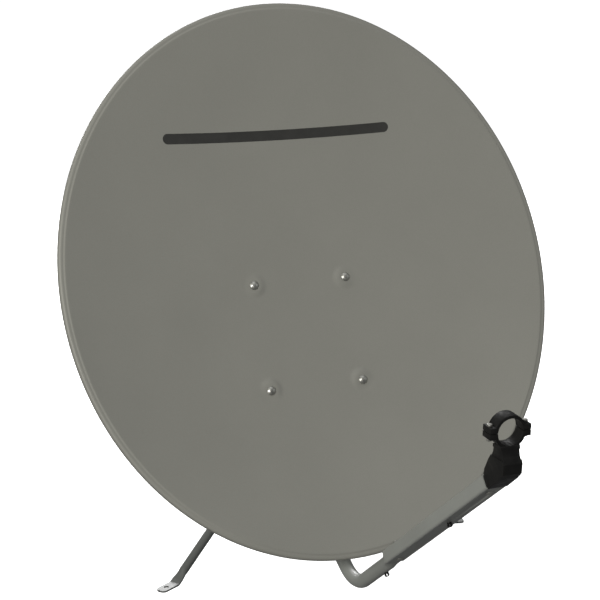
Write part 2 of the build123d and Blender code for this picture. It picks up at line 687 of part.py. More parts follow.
# welded to the top of the lower tube: a yoke whose two wings bolt between the bracket's cheeks
with BuildPart() as arm_yoke:
    top = Vector(0, ARM_TOP[0], ARM_TOP[1])
    low_plane = Plane(origin=top - arm_run * YOKE_REACH, x_dir=(1, 0, 0), z_dir=arm_run)
    wing_x = CHEEK_INNER - YOKE_T / 2
    with BuildSketch(low_plane):
        with Locations((0, -ARM_R - YOKE_T / 2)):
            Rectangle(2 * CHEEK_INNER, YOKE_T)
        with Locations((wing_x, 0), (-wing_x, 0)):
            Rectangle(YOKE_T, 2 * (ARM_R + YOKE_T))
        Circle(ARM_R, mode=Mode.SUBTRACT)
    extrude(amount=YOKE_LENGTH)
    for spot in yoke_places:
        hole = Plane(origin=spot - Vector(60, 0, 0), x_dir=(0, 1, 0), z_dir=(1, 0, 0))
        disc(hole, M8[0] + HOLE_GAP, 120, Mode.SUBTRACT)

with BuildPart() as yoke_bolts:
    for spot in yoke_places:
        for side in (-1, 1):
            outside = Plane(
                origin=spot + Vector(side * (CHEEK_INNER + CHEEK_T), 0, 0),
                x_dir=(0, 1, 0),
                z_dir=(side, 0, 0),
            )
            hex_bolt(outside, M8, CHEEK_T + YOKE_T)

with BuildPart() as yoke_nuts:
    for spot in yoke_places:
        for side in (-1, 1):
            inside = Plane(
                origin=spot + Vector(side * (CHEEK_INNER - YOKE_T), 0, 0),
                x_dir=(0, 1, 0),
                z_dir=(-side, 0, 0),
            )
            hex_nut(inside, M8)

with BuildPart() as arm_box_tube:
    with BuildSketch(arm_plane(0)):
        RectangleRounded(BOX_WIDTH, BOX_HEIGHT, BOX_CORNER_R)
        RectangleRounded(
            BOX_WIDTH - 2 * BOX_WALL,
            BOX_HEIGHT - 2 * BOX_WALL,
            BOX_CORNER_R - BOX_WALL,
            mode=Mode.SUBTRACT,
        )
    extrude(amount=box_length)
    for along in (JOINT_BOLT_ALONG, holder_bolt_along):
        disc(arm_up_plane(along, -BOX_HEIGHT), M6[0] + HOLE_GAP, 2 * BOX_HEIGHT, Mode.SUBTRACT)
    disc(arm_up_plane(BOX_CLIP_ALONG, -BOX_HEIGHT), CLIP_HOLE_R, BOX_HEIGHT, Mode.SUBTRACT)


def arm_under_plane(along, across):
    """Plane whose normal points down from the arm."""
    above = arm_up_plane(along, across)
    return Plane(origin=above.origin, x_dir=(1, 0, 0), z_dir=above.z_dir * -1)


with BuildPart() as arm_joint_bolt:
    round_bolt(arm_under_plane(JOINT_BOLT_ALONG, -BOX_HEIGHT / 2), M6, 6.6, 3.2, BOX_HEIGHT)

with BuildPart() as arm_joint_nut:
    hex_nut(arm_up_plane(JOINT_BOLT_ALONG, BOX_HEIGHT / 2), M6)

# plastic clips pressed into the arm's underside, for the lead
clips = {}
for name, along, across_by in (
    ("box", BOX_CLIP_ALONG, -BOX_HEIGHT / 2),
    ("tube", TUBE_CLIP_ALONG, -TUBE_DROP - ARM_R),
):
    under = arm_under_plane(along, across_by)
    with BuildPart() as clip:
        disc(under, 2.4, -3.5)
        disc(under, 6, 2)
        with BuildSketch(Plane(origin=under.offset(6.5).origin, x_dir=(1, 0, 0), z_dir=arm_plane(0).z_dir)):
            Circle(5.6)
            Circle(3.6, mode=Mode.SUBTRACT)
            with Locations((0, -5)):
                Rectangle(3.4, 6, mode=Mode.SUBTRACT)
        extrude(amount=4.5, both=True)
    clips[name] = clip

# ---------------------------------------------------------------- holder for the receiver head

ring_tilt = radians(RING_TILT)
ring = Plane(
    origin=(0, RING_CENTRE_Y, RING_CENTRE_Z),
    x_dir=(1, 0, 0),
    z_dir=(0, -cos(ring_tilt), -sin(ring_tilt)),
)
end_high = arm_plane(box_length, HOLDER_HALF_HEIGHT).origin
end_low = arm_plane(box_length, -HOLDER_HALF_HEIGHT).origin

with BuildPart() as lnb_holder_base:
    with BuildSketch(side_plane(-HOLDER_HALF_WIDTH)):
        with BuildLine():
            FilletPolyline(
                (end_high.Y, end_high.Z),
                (end_low.Y, end_low.Z),
                *HOLDER_OUTLINE,
                radius=2.5,
                close=True,
            )
        make_face()
    extrude(amount=2 * HOLDER_HALF_WIDTH)
    for side in (-1, 1):
        with BuildSketch(side_plane(side * HOLDER_HALF_WIDTH)):
            with Locations((RING_CENTRE_Y, NECK_CENTRE_Z)):
                Rectangle(80, NECK_HEIGHT)
        extrude(amount=-side * NECK_CUT, mode=Mode.SUBTRACT)
    with BuildSketch(arm_plane(box_length + 6)):
        RectangleRounded(insert_width, insert_height, insert_corner_r)
    extrude(amount=-TONGUE_LENGTH)
    with BuildSketch(ring.offset(-RING_LENGTH / 2)):
        Circle(RING_OUTER_R)
        with Locations((0, -EAR_T / 2)):
            Rectangle(2 * EAR_HALF_WIDTH, EAR_T)
        with Locations((0, 60 - RING_SPLIT)):
            Rectangle(120, 120, mode=Mode.SUBTRACT)
    extrude(amount=RING_LENGTH)
    with BuildSketch(ring.offset(-40)):
        Circle(RING_BORE_R)
    extrude(amount=80, mode=Mode.SUBTRACT)
    for side in (-1, 1):
        low = ring.from_local_coords((side * EAR_SCREW_X, -40, 0))
        hole = Plane(origin=low, x_dir=(1, 0, 0), z_dir=ring.y_dir)
        disc(hole, M5[0] + HOLE_GAP, 60, Mode.SUBTRACT)
    bolt_hole = arm_up_plane(holder_bolt_along, -BOX_HEIGHT)
    disc(bolt_hole, M6[0] + HOLE_GAP, 2 * BOX_HEIGHT, Mode.SUBTRACT)

with BuildPart() as lnb_clamp_cap:
    with BuildSketch(ring.offset(-RING_LENGTH / 2)):
        Circle(RING_OUTER_R)
        with Locations((0, EAR_T / 2)):
            Rectangle(2 * EAR_HALF_WIDTH, EAR_T)
        Circle(RING_BORE_R, mode=Mode.SUBTRACT)
        with Locations((0, RING_SPLIT - 60)):
            Rectangle(120, 120, mode=Mode.SUBTRACT)
    extrude(amount=RING_LENGTH)
    for side in (-1, 1):
        low = ring.from_local_coords((side * EAR_SCREW_X, -40, 0))
        hole = Plane(origin=low, x_dir=(1, 0, 0), z_dir=ring.y_dir)
        disc(hole, M5[0] + HOLE_GAP, 80, Mode.SUBTRACT)

with BuildPart() as lnb_clamp_screws:
    for side in (-1, 1):
        top = ring.from_local_coords((side * EAR_SCREW_X, EAR_T, 0))
        seat = Plane(origin=top, x_dir=(1, 0, 0), z_dir=ring.y_dir)
        disc(seat, M5[1] / 2, M5[2])
        disc(seat, M5[0], -2 * EAR_T - M5[3] - 1)

with BuildPart() as lnb_clamp_nuts:
    for side in (-1, 1):
        low = ring.from_local_coords((side * EAR_SCREW_X, -EAR_T, 0))
        below = Plane(origin=low, x_dir=(1, 0, 0), z_dir=ring.y_dir * -1)
        hexagon(below, M5[1], M5[3])
        disc(below, M5[0], M5[3], Mode.SUBTRACT)

with BuildPart() as holder_bolt:
    round_bolt(arm_under_plane(holder_bolt_along, -BOX_HEIGHT / 2), M6, 6.6, 3.2, BOX_HEIGHT)

with BuildPart() as holder_nut:
    hex_nut(arm_up_plane(holder_bolt_along, BOX_HEIGHT / 2), M6)

# ---------------------------------------------------------------- export, one file for each piece

pieces = {
    "reflector": reflector,
    "reflector_bolts": reflector_bolts,
    "reflector_nuts": reflector_nuts,
    "back_bracket": back_bracket,
    "base_flange": base_flange,
    "base_set_screws": base_set_screws,
    "mast": mast,
    "mast_cap": mast_cap,
    "left_stay_collar": collar_halves["left"],
    "right_stay_collar": collar_halves["right"],
    "collar_bolts": collar_bolts,
    "collar_nuts": collar_nuts,
    "left_stay": stays["left"],
    "right_stay": stays["right"],
    "stay_bolts": stay_bolts,
    "stay_nuts": stay_nuts,
    "azimuth_bracket": azimuth_bracket,
    "lower_saddle": saddles["lower"],
    "upper_saddle": saddles["upper"],
    "lower_mast_clamp": clamps["lower"],
    "upper_mast_clamp": clamps["upper"],
    "clamp_bolts": clamp_bolts,
    "clamp_nuts": clamp_nuts,
    "elevation_pivot_bolt": elevation_pivot_bolt,
    "elevation_pivot_nut": elevation_pivot_nut,
    "elevation_lock_bolts": elevation_lock_bolts,
    "elevation_lock_nuts": elevation_lock_nuts,
    "arm_lower_tube": arm_lower_tube,
    "arm_yoke": arm_yoke,
    "yoke_bolts": yoke_bolts,
    "yoke_nuts": yoke_nuts,
    "arm_box_tube": arm_box_tube,
    "arm_joint_bolt": arm_joint_bolt,
    "arm_joint_nut": arm_joint_nut,
    "cable_clip": clips["box"],
    "lower_cable_clip": clips["tube"],
    "lnb_holder_base": lnb_holder_base,
    "lnb_clamp_cap": lnb_clamp_cap,
    "lnb_clamp_screws": lnb_clamp_screws,
    "lnb_clamp_nuts": lnb_clamp_nuts,
    "holder_bolt": holder_bolt,
    "holder_nut": holder_nut,
}

os.makedirs("parts", exist_ok=True)
for node, piece in pieces.items():
    piece.part.label = node
    export_step(piece.part, f"parts/{node}.step")
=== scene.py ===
"""Looks for an offset satellite dish: painted steel reflector, arm, mount and black receiver clamp.

Metres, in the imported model's frame: +Z up, the dish faces -Y, origin under the mast.
"""

import json
import math

import bmesh
import bpy
from mathutils import Matrix, Vector


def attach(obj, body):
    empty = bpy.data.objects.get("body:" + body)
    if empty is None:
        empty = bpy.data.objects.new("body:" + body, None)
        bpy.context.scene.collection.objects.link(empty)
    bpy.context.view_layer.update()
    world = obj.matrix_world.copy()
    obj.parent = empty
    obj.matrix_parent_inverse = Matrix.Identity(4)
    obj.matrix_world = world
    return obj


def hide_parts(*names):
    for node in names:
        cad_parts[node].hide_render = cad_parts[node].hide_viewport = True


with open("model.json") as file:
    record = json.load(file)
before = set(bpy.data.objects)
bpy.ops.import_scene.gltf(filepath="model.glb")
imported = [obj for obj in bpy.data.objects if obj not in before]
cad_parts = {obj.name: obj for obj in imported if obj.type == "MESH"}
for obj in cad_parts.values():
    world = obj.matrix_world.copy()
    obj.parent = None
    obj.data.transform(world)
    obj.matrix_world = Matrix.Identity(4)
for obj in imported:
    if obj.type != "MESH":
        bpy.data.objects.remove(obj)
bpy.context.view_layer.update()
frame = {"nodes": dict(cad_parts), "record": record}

# ---------------------------------------------------------------- driving dimensions

RIM_WIDTH = 0.900
RIM_HEIGHT = 0.980
RIM_FLANGE = 0.011
RIM_LIP = 0.012
RIM_ROLL_R = 0.0044
RIM_CHANNEL = 0.0004
RIM_BLEND = 0.0006
RIM_STRETCH = 1.09
HEM_R = 0.0011
CHANNEL_START = 0.0003
SHEET = 0.0012
FOCAL = 0.566
RIM_TILT = math.radians(22.25)
RIM_CENTRE = Vector((0.0, -0.160, 0.530))
BOLT_SPACING_X = 0.1746
BOLT_SPACING_V = 0.1872
BOLT_CENTRE_V = -0.0927
PAD_R = 0.011
PAD_BLEND_R = 0.024
PAD_RAISE = 0.0013
PLATE_BACK = 0.087
CHEEK_OUTER = 0.0513
CHEEK_WELD = 0.194
FLANGE_T = 0.008
ARM_JOINT = Vector((0.0, -0.4786, 0.1315))
ARM_TIP = Vector((0.0, -0.7992, 0.3664))
BOX_CLIP_ALONG = 0.224
BOX_UNDER = 0.011
TUBE_CLIP_ALONG = -0.044
TUBE_UNDER = 0.016
CLIP_SCALE = 0.62
BAR_U = -0.015
BAR_V = 0.262
BAR_HALF_LENGTH = 0.215
BAR_HALF_HEIGHT = 0.009
SOCKET_R = 0.027

OFFSET_ANGLE = math.acos(RIM_WIDTH / RIM_HEIGHT)
APERTURE_R = RIM_WIDTH / 2 - RIM_FLANGE
APERTURE_HALF_HEIGHT = APERTURE_R / math.cos(OFFSET_ANGLE)
BEAM_OFFSET = 2 * FOCAL * math.tan(OFFSET_ANGLE)
CENTRE_HEIGHT = (BEAM_OFFSET ** 2 + APERTURE_R ** 2) / (4 * FOCAL)

RIGHT = Vector((1, 0, 0))
RIM_UP = Vector((0, math.sin(RIM_TILT), math.cos(RIM_TILT)))
RIM_FRONT = Vector((0, -math.cos(RIM_TILT), math.sin(RIM_TILT)))


def on_rim(u, v, w):
    """Point at u to the right, v up in the rim's plane and w in front of it."""
    return RIM_CENTRE + RIGHT * u + RIM_UP * v + RIM_FRONT * w


def bowl_depth(u, v):
    """Height of the reflecting face over the rim plane at (u, v); negative inside the bowl."""
    along = BEAM_OFFSET + v * math.cos(OFFSET_ANGLE)
    rise = CENTRE_HEIGHT + v * math.sin(OFFSET_ANGLE)
    a = math.sin(OFFSET_ANGLE) ** 2
    b = -(2 * along * math.sin(OFFSET_ANGLE) + 4 * FOCAL * math.cos(OFFSET_ANGLE))
    c = u ** 2 + along ** 2 - 4 * FOCAL * rise
    return (-b - math.sqrt(b ** 2 - 4 * a * c)) / (2 * a)


bolt_places = [
    (side * BOLT_SPACING_X / 2, BOLT_CENTRE_V + row * BOLT_SPACING_V / 2)
    for side in (-1, 1)
    for row in (-1, 1)
]

# ---------------------------------------------------------------- materials


def new_material(name):
    """An empty node material with its shader, output and object coordinates."""
    material = bpy.data.materials.new(name)
    material.use_nodes = True
    tree = material.node_tree
    tree.nodes.clear()
    output = tree.nodes.new("ShaderNodeOutputMaterial")
    shader = tree.nodes.new("ShaderNodeBsdfPrincipled")
    tree.links.new(shader.outputs["BSDF"], output.inputs["Surface"])
    coords = tree.nodes.new("ShaderNodeTexCoord")
    return material, tree, shader, coords.outputs["Object"]


def noise(tree, vector, scale, detail=3.0, roughness=0.5):
    """A noise texture's value at a scale in cycles per metre."""
    node = tree.nodes.new("ShaderNodeTexNoise")
    node.inputs["Scale"].default_value = scale
    node.inputs["Detail"].default_value = detail
    node.inputs["Roughness"].default_value = roughness
    tree.links.new(vector, node.inputs["Vector"])
    return node.outputs["Fac"]


def ramp(tree, value, stops):
    """A colour ramp with (place, colour) stops."""
    node = tree.nodes.new("ShaderNodeValToRGB")
    elements = node.color_ramp.elements
    elements[0].position, elements[0].color = stops[0][0], (*stops[0][1], 1)
    elements[1].position, elements[1].color = stops[-1][0], (*stops[-1][1], 1)
    for place, colour in stops[1:-1]:
        elements.new(place).color = (*colour, 1)
    tree.links.new(value, node.inputs["Fac"])
    return node.outputs["Color"]


def remap(tree, value, low, high):
    """The value's middle range stretched to low..high."""
    node = tree.nodes.new("ShaderNodeMapRange")
    node.inputs["From Min"].default_value = 0.3
    node.inputs["From Max"].default_value = 0.7
    node.inputs["To Min"].default_value = low
    node.inputs["To Max"].default_value = high
    tree.links.new(value, node.inputs["Value"])
    return node.outputs["Result"]


def mix(tree, factor, first, second, blend="MIX"):
    """Two colours mixed by a factor socket or a number."""
    node = tree.nodes.new("ShaderNodeMix")
    node.data_type = "RGBA"
    node.blend_type = blend
    if isinstance(factor, float):
        node.inputs["Factor"].default_value = factor
    else:
        tree.links.new(factor, node.inputs["Factor"])
    tree.links.new(first, node.inputs[6])
    tree.links.new(second, node.inputs[7])
    return node.outputs[2]


def bump(tree, shader, height, strength, distance):
    """A bump map on the shader's normal."""
    node = tree.nodes.new("ShaderNodeBump")
    node.inputs["Strength"].default_value = strength
    node.inputs["Distance"].default_value = distance
    tree.links.new(height, node.inputs["Height"])
    tree.links.new(node.outputs["Normal"], shader.inputs["Normal"])


def shade(colour, factor):
    """A colour made lighter or darker."""
    return tuple(channel * factor for channel in colour)


def painted_steel(name, colour, roughness=0.42, blotch_scale=4.0, blotch=0.05, peel=0.25):
    """Powder paint: soft blotches, a faint speckle and orange peel."""
    material, tree, shader, place = new_material(name)
    blotches = ramp(
        tree,
        noise(tree, place, blotch_scale, 4.0, 0.55),
        [(0.3, shade(colour, 1 - blotch)), (0.5, colour), (0.7, shade(colour, 1 + blotch))],
    )
    speckle = ramp(
        tree,
        noise(tree, place, 900.0, 2.0),
        [(0.35, (0.93, 0.93, 0.93)), (0.65, (1.0, 1.0, 1.0))],
    )
    tree.links.new(mix(tree, 1.0, blotches, speckle, "MULTIPLY"), shader.inputs["Base Color"])
    tree.links.new(
        remap(tree, noise(tree, place, 14.0, 3.0), roughness - 0.015, roughness + 0.02),
        shader.inputs["Roughness"],
    )
    shader.inputs["Specular IOR Level"].default_value = 0.38
    bump(tree, shader, noise(tree, place, 420.0, 2.0), peel, 0.0002)
    return material


def plated_steel(name, colour=(0.42, 0.42, 0.39), roughness=0.38):
    """Zinc plated steel with cloudy passivation."""
    material, tree, shader, place = new_material(name)
    tree.links.new(
        ramp(
            tree,
            noise(tree, place, 260.0, 4.0, 0.6),
            [(0.3, shade(colour, 0.75)), (0.55, colour), (0.75, shade(colour, 1.15))],
        ),
        shader.inputs["Base Color"],
    )
    tree.links.new(
        remap(tree, noise(tree, place, 420.0, 3.0), roughness - 0.08, roughness + 0.14),
        shader.inputs["Roughness"],
    )
    shader.inputs["Metallic"].default_value = 0.9
    bump(tree, shader, noise(tree, place, 1500.0, 2.0), 0.15, 0.0001)
    return material


def galvanised_steel(name):
    """Hot dip galvanising: crystal spangles of slightly different greys."""
    material, tree, shader, place = new_material(name)
    cells = tree.nodes.new("ShaderNodeTexVoronoi")
    cells.inputs["Scale"].default_value = 120.0
    tree.links.new(place, cells.inputs["Vector"])
    grey = tree.nodes.new("ShaderNodeSeparateColor")
    tree.links.new(cells.outputs["Color"], grey.inputs["Color"])
    tree.links.new(
        ramp(tree, grey.outputs["Red"], [(0.0, (0.30, 0.31, 0.32)), (1.0, (0.46, 0.47, 0.47))]),
        shader.inputs["Base Color"],
    )
    tree.links.new(remap(tree, grey.outputs["Green"], 0.36, 0.56), shader.inputs["Roughness"])
    shader.inputs["Metallic"].default_value = 0.85
    bump(tree, shader, noise(tree, place, 300.0, 3.0), 0.2, 0.0002)
    return material


def cast_aluminium(name):
    """Die cast alloy with a sandy skin."""
    material, tree, shader, place = new_material(name)
    tree.links.new(
        ramp(
            tree,
            noise(tree, place, 150.0, 5.0, 0.7),
            [(0.3, (0.30, 0.30, 0.30)), (0.7, (0.46, 0.46, 0.45))],
        ),
        shader.inputs["Base Color"],
    )
    tree.links.new(remap(tree, noise(tree, place, 500.0, 3.0), 0.45, 0.65), shader.inputs["Roughness"])
    shader.inputs["Metallic"].default_value = 0.85
    bump(tree, shader, noise(tree, place, 900.0, 4.0, 0.7), 0.35, 0.0003)
    return material


def moulded_plastic(name, colour, roughness=0.46):
    """Weatherproof moulded plastic with spark-eroded grain."""
    material, tree, shader, place = new_material(name)
    tree.links.new(
        ramp(
            tree,
            noise(tree, place, 45.0, 4.0, 0.6),
            [(0.3, shade(colour, 0.8)), (0.7, shade(colour, 1.3))],
        ),
        shader.inputs["Base Color"],
    )
    tree.links.new(
        remap(tree, noise(tree, place, 90.0, 3.0), roughness - 0.08, roughness + 0.10),
        shader.inputs["Roughness"],
    )
    shader.inputs["Specular IOR Level"].default_value = 0.25
    bump(tree, shader, noise(tree, place, 1800.0, 2.0), 0.3, 0.0001)
    return material


DISH_GREY = (0.243, 0.243, 0.219)
ARM_GREY = (0.250, 0.260, 0.244)
BRACKET_GREY = (0.150, 0.152, 0.142)
STAY_GREY = (0.125, 0.132, 0.128)
PLASTIC_BLACK = (0.0065, 0.0065, 0.0062)
BAR_GREY = (0.032, 0.032, 0.030)

dish_paint = painted_steel("dish_paint", DISH_GREY, roughness=0.50, blotch_scale=5.0, blotch=0.03)
bracket_paint = painted_steel("bracket_paint", BRACKET_GREY, blotch_scale=9.0)
arm_paint = painted_steel("arm_paint", ARM_GREY, roughness=0.38, blotch_scale=12.0)
stay_paint = painted_steel("stay_paint", STAY_GREY, blotch_scale=12.0)
black_plastic = moulded_plastic("black_plastic", PLASTIC_BLACK)
zinc = plated_steel("zinc_plating")
mast_zinc = galvanised_steel("galvanised_mast")
saddle_cast = cast_aluminium("cast_saddle")



def vector_maths(tree, operation, first, second):
    """A vector socket joined with a fixed vector."""
    node = tree.nodes.new("ShaderNodeVectorMath")
    node.operation = operation
    tree.links.new(first, node.inputs[0])
    node.inputs[1].default_value = second
    return node


def maths(tree, operation, first, second):
    """Two sockets or numbers joined by an operation."""
    node = tree.nodes.new("ShaderNodeMath")
    node.operation = operation
    for socket, value in zip(node.inputs, (first, second)):
        if isinstance(value, float):
            socket.default_value = value
        else:
            tree.links.new(value, socket)
    return node.outputs["Value"]


def painted_bar(material, centre_u, centre_v, half_length, half_height, colour):
    """Prints a plain bar with rounded ends on the front of a paint, placed in the rim's plane."""
    tree = material.node_tree
    shader = next(node for node in tree.nodes if node.type == "BSDF_PRINCIPLED")
    coords = next(node for node in tree.nodes if node.type == "TEX_COORD")
    place = coords.outputs["Object"]
    paint = shader.inputs["Base Color"].links[0].from_socket

    frontness = vector_maths(tree, "DOT_PRODUCT", coords.outputs["Normal"], RIM_FRONT).outputs["Value"]
    facing = maths(tree, "GREATER_THAN", frontness, 0.0)
    local = vector_maths(tree, "SUBTRACT", place, RIM_CENTRE).outputs["Vector"]
    u = vector_maths(tree, "DOT_PRODUCT", local, RIGHT).outputs["Value"]
    v = vector_maths(tree, "DOT_PRODUCT", local, RIM_UP).outputs["Value"]

    aside = maths(tree, "ABSOLUTE", maths(tree, "SUBTRACT", u, centre_u), 0.0)
    past_u = maths(tree, "MAXIMUM", maths(tree, "SUBTRACT", aside, half_length - half_height), 0.0)
    past_v = maths(tree, "SUBTRACT", v, centre_v)
    squares = maths(
        tree, "ADD", maths(tree, "POWER", past_u, 2.0), maths(tree, "MULTIPLY", past_v, past_v)
    )
    reach = maths(tree, "SQRT", squares, 0.0)
    inside = maths(tree, "MULTIPLY", maths(tree, "LESS_THAN", reach, half_height), facing)
    ink = ramp(tree, noise(tree, place, 60.0), [(0.3, shade(colour, 0.9)), (0.7, shade(colour, 1.1))])
    tree.links.new(mix(tree, inside, paint, ink), shader.inputs["Base Color"])


painted_bar(dish_paint, BAR_U, BAR_V, BAR_HALF_LENGTH, BAR_HALF_HEIGHT, BAR_GREY)

slot_materials = {
    "dish_paint": dish_paint,
    "bracket_paint": bracket_paint,
    "arm_paint": arm_paint,
    "stay_paint": stay_paint,
    "black_plastic": black_plastic,
    "zinc_fasteners": zinc,
    "galvanised_steel": mast_zinc,
    "cast_aluminium": saddle_cast,
}
node_slots = {part["node"]: part["material_slot"] for part in frame["record"]["subparts"]}
for node, thing in frame["nodes"].items():
    thing.data.materials.clear()
    thing.data.materials.append(slot_materials[node_slots[node]])

# ---------------------------------------------------------------- reflector

RIM_SEGMENTS = 480
BOWL_RINGS = 120


def bowl_point(radius, angle, behind=0.0):
    """Point of the bowl at a polar place in the beam, `behind` metres back along the beam."""
    across = BEAM_OFFSET + radius * math.sin(angle)
    right = radius * math.cos(angle)
    height = (right ** 2 + across ** 2) / (4 * FOCAL) - behind
    u = right
    v = (across - BEAM_OFFSET) * math.cos(OFFSET_ANGLE) + (height - CENTRE_HEIGHT) * math.sin(OFFSET_ANGLE)
    w = -(across - BEAM_OFFSET) * math.sin(OFFSET_ANGLE) + (height - CENTRE_HEIGHT) * math.cos(OFFSET_ANGLE)
    return u, v, w


def pad_lift(u, v):
    """How far the pressed pad under a bolt stands off the bowl at (u, v)."""
    for pad_u, pad_v in bolt_places:
        reach = math.hypot(u - pad_u, v - pad_v)
        if reach < PAD_BLEND_R:
            flat = bowl_depth(pad_u, pad_v) + PAD_RAISE - bowl_depth(u, v)
            ease = min(1.0, (PAD_BLEND_R - reach) / (PAD_BLEND_R - PAD_R))
            return flat * ease * ease * (3 - 2 * ease)
    return 0.0


def rim_point(outward, w, angle):
    """Point on the rim's pressed edge, `outward` metres from the bowl's edge."""
    u = (APERTURE_R + outward) * math.cos(angle)
    v = (APERTURE_HALF_HEIGHT + outward * RIM_STRETCH) * math.sin(angle)
    return u, v, w


def arc_points(centre, radius, start, end, steps):
    """Points (outward, height) along an arc, angles in degrees."""
    turns = [math.radians(start + (end - start) * i / steps) for i in range(steps + 1)]
    return [(centre[0] + radius * math.cos(turn), centre[1] + radius * math.sin(turn)) for turn in turns]


inner_roll = RIM_ROLL_R - SHEET
roll_centre = (RIM_FLANGE - RIM_ROLL_R, -RIM_ROLL_R)
hem_centre = (RIM_FLANGE - HEM_R, -RIM_LIP + HEM_R)
channel_end = RIM_FLANGE - RIM_ROLL_R - RIM_BLEND
channel_steps = [i / 10 for i in range(11)]
channel = [
    (CHANNEL_START + (channel_end - CHANNEL_START) * step, -RIM_CHANNEL * math.sin(math.pi * step) ** 2)
    for step in channel_steps
]
rim_profile = list(channel)
rim_profile += arc_points(roll_centre, RIM_ROLL_R, 90, 0, 14)
rim_profile += arc_points(hem_centre, HEM_R, 0, -180, 8)
rim_profile += arc_points(roll_centre, inner_roll, 0, 90, 10)
rim_profile += [(outward, height - SHEET) for outward, height in reversed(channel)]


def closed_rings(mesh_name, rings, front_pole, back_pole):
    """Mesh of quads between rings of equal length, closed by a point at each end."""
    bm = bmesh.new()
    rows = [[bm.verts.new(point) for point in ring] for ring in rings]
    count = len(rows[0])
    for near, far in zip(rows, rows[1:]):
        for i in range(count):
            bm.faces.new((near[i], near[(i + 1) % count], far[(i + 1) % count], far[i]))
    for row, pole, flip in ((rows[0], front_pole, True), (rows[-1], back_pole, False)):
        hub = bm.verts.new(pole)
        for i in range(count):
            corner = (row[i], row[(i + 1) % count], hub)
            bm.faces.new(tuple(reversed(corner)) if flip else corner)
    bmesh.ops.recalc_face_normals(bm, faces=bm.faces)
    mesh = bpy.data.meshes.new(mesh_name)
    bm.to_mesh(mesh)
    bm.free()
    mesh.polygons.foreach_set("use_smooth", [True] * len(mesh.polygons))
    return mesh


def add_piece(name, mesh, material, body, replaced=()):
    """Links a finished mesh as a piece that rides on a body and replaces CAD nodes."""
    piece = bpy.data.objects.new(name, mesh)
    bpy.context.scene.collection.objects.link(piece)
    mesh.materials.append(material)
    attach(piece, body)
    if replaced:
        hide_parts(*replaced)
    return piece


angles = [2 * math.pi * i / RIM_SEGMENTS for i in range(RIM_SEGMENTS)]


def bowl_ring(radius, behind):
    """Closed row of points round the bowl, with the pressed pads under the bolts."""
    ring = []
    for angle in angles:
        u, v, w = bowl_point(radius, angle, behind)
        ring.append(on_rim(u, v, w + pad_lift(u, v)))
    return ring


bowl_radii = [APERTURE_R * (i + 1) / BOWL_RINGS for i in range(BOWL_RINGS)]
bowl_radii[-1] = APERTURE_R - RIM_BLEND
reflector_rings = [bowl_ring(radius, 0.0) for radius in bowl_radii]
reflector_rings += [[on_rim(*rim_point(outward, w, angle)) for angle in angles] for outward, w in rim_profile]
reflector_rings += [bowl_ring(radius, SHEET) for radius in reversed(bowl_radii[:-1])]
front_pole = on_rim(*bowl_point(0.0, 0.0))
back_pole = on_rim(*bowl_point(0.0, 0.0, SHEET))
reflector_mesh = closed_rings("reflector_shell", reflector_rings, front_pole, back_pole)
add_piece("reflector_shell", reflector_mesh, dish_paint, "dish", ["reflector"])

# ---------------------------------------------------------------- rounded edges on the CAD's solids

body_of_node = {
    node: body for body, members in frame["record"]["behaviour"]["bodies"].items() for node in members
}


MERGE_DISTANCE = 0.000002
FLAT_ANGLE = math.radians(0.6)
CREASE_ANGLE = math.radians(38)
SHARP_ANGLE = math.radians(32)


def softened(node, width):
    """A smooth copy of a CAD node that replaces it, with edges rounded where width isn't 0."""
    bm = bmesh.new()
    bm.from_mesh(frame["nodes"][node].data)
    bmesh.ops.remove_doubles(bm, verts=bm.verts, dist=MERGE_DISTANCE)
    if width > 0:
        bmesh.ops.dissolve_limit(
            bm, angle_limit=FLAT_ANGLE, verts=bm.verts, edges=bm.edges, delimit={"NORMAL"}
        )
        edges = [
            edge for edge in bm.edges if edge.is_manifold and edge.calc_face_angle(0) > CREASE_ANGLE
        ]
        bmesh.ops.bevel(
            bm,
            geom=edges,
            offset=width,
            offset_type="OFFSET",
            segments=2,
            profile=0.5,
            affect="EDGES",
            clamp_overlap=True,
        )
    bmesh.ops.triangulate(bm, faces=[face for face in bm.faces if len(face.verts) > 4])
    mesh = bpy.data.meshes.new(node + "_rounded")
    bm.to_mesh(mesh)
    bm.free()
    mesh.polygons.foreach_set("use_smooth", [True] * len(mesh.polygons))
    mesh.set_sharp_from_angle(angle=SHARP_ANGLE)
    material = slot_materials[node_slots[node]]
    return add_piece(node + "_rounded", mesh, material, body_of_node[node], [node])


